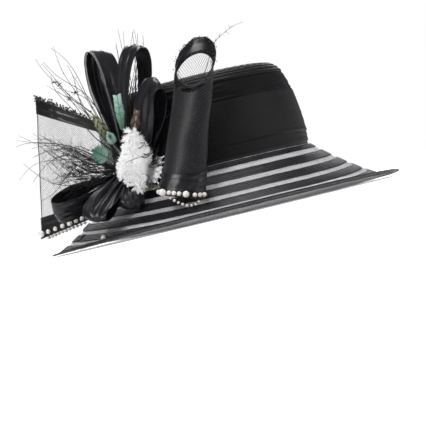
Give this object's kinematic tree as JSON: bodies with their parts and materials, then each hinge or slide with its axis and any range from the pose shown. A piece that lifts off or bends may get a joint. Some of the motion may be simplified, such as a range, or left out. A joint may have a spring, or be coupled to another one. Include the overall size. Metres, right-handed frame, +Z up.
{
  "type": "wide-brim sun hat",
  "caption": "Wide-brim dress hat: a banded crown over a ringed sheer and satin brim, with a side trim of ribbon loops, feathers and pearls.",
  "frame": {"origin": "middle of the hat's bounding box in X and Y, on the surface that its rim stands on", "axes": "+Z up through the crown, -Y towards the wearer's face side, +X towards the wearer's left; the trim is at -X and -Y"},
  "size_m": [0.3708, 0.354, 0.1905],
  "materials": {
    "crown_cloth": "matt black satin",
    "band_satin": "smooth black satin",
    "braid_satin": "ribbed black satin braid",
    "brim_satin": "ribbed black satin ribbon",
    "brim_organza": "sheer grey crinoline weave",
    "trim_satin": "glossy black satin ribbon",
    "mesh_cloth": "sheer black crinoline mesh",
    "mint_feather": "soft mint feather",
    "teal_feather": "soft teal feather",
    "barred_feather": "yellow-green feather with dark bars",
    "brown_feather": "brown mottled feather",
    "white_feather": "fluffy white feather",
    "black_feather": "fine black stripped feather",
    "pearl": "lustrous cream pearl"
  },
  "bodies": {
    "root": {"crown": "crown_cloth", "hatband": "band_satin", "crown_upper_band": "band_satin", "crown_tip_braid": "braid_satin", "brim_sheer": "brim_organza", "brim_ribbon_1": "brim_satin", "brim_ribbon_2": "brim_satin", "brim_ribbon_3": "brim_satin", "brim_ribbon_4": "brim_satin", "brim_ribbon_5": "brim_satin", "brim_ribbon_6": "brim_satin", "brim_edge": "brim_organza", "trim_knot": "trim_satin", "satin_loop_left": "trim_satin", "satin_loop_middle": "trim_satin", "satin_loop_front": "trim_satin", "low_loop_left": "trim_satin", "low_loop_middle": "trim_satin", "low_loop_right": "trim_satin", "wide_loop_border_low": "trim_satin", "wide_loop_panel": "mesh_cloth", "wide_loop_border_top": "trim_satin", "tall_loop_border_low": "trim_satin", "tall_loop_panel": "mesh_cloth", "tall_loop_border_top": "trim_satin", "mint_feather": "mint_feather", "round_feather": "mint_feather", "teal_feather": "teal_feather", "barred_feather": "barred_feather", "brown_feather": "brown_feather", "barred_curl": "barred_feather", "white_tuft": "white_feather", "spray_left": "black_feather", "spray_quills": "black_feather", "spray_top": "black_feather", "spray_right": "black_feather", "white_feather_pad": "white_feather", "wide_loop_pearl_1": "pearl", "wide_loop_pearl_2": "pearl", "wide_loop_pearl_3": "pearl", "wide_loop_pearl_4": "pearl", "wide_loop_pearl_5": "pearl", "wide_loop_pearl_6": "pearl", "wide_loop_pearl_7": "pearl", "tall_loop_pearl_1": "pearl", "tall_loop_pearl_2": "pearl", "tall_loop_pearl_3": "pearl", "tall_loop_pearl_4": "pearl", "tall_loop_pearl_5": "pearl", "tall_loop_pearl_6": "pearl", "tall_loop_pearl_7": "pearl", "tall_loop_pearl_8": "pearl", "tall_loop_pearl_9": "pearl", "wide_loop_beads": "pearl", "tall_loop_beads": "pearl", "brim_pearl": "pearl"}
  },
  "joints": []
}
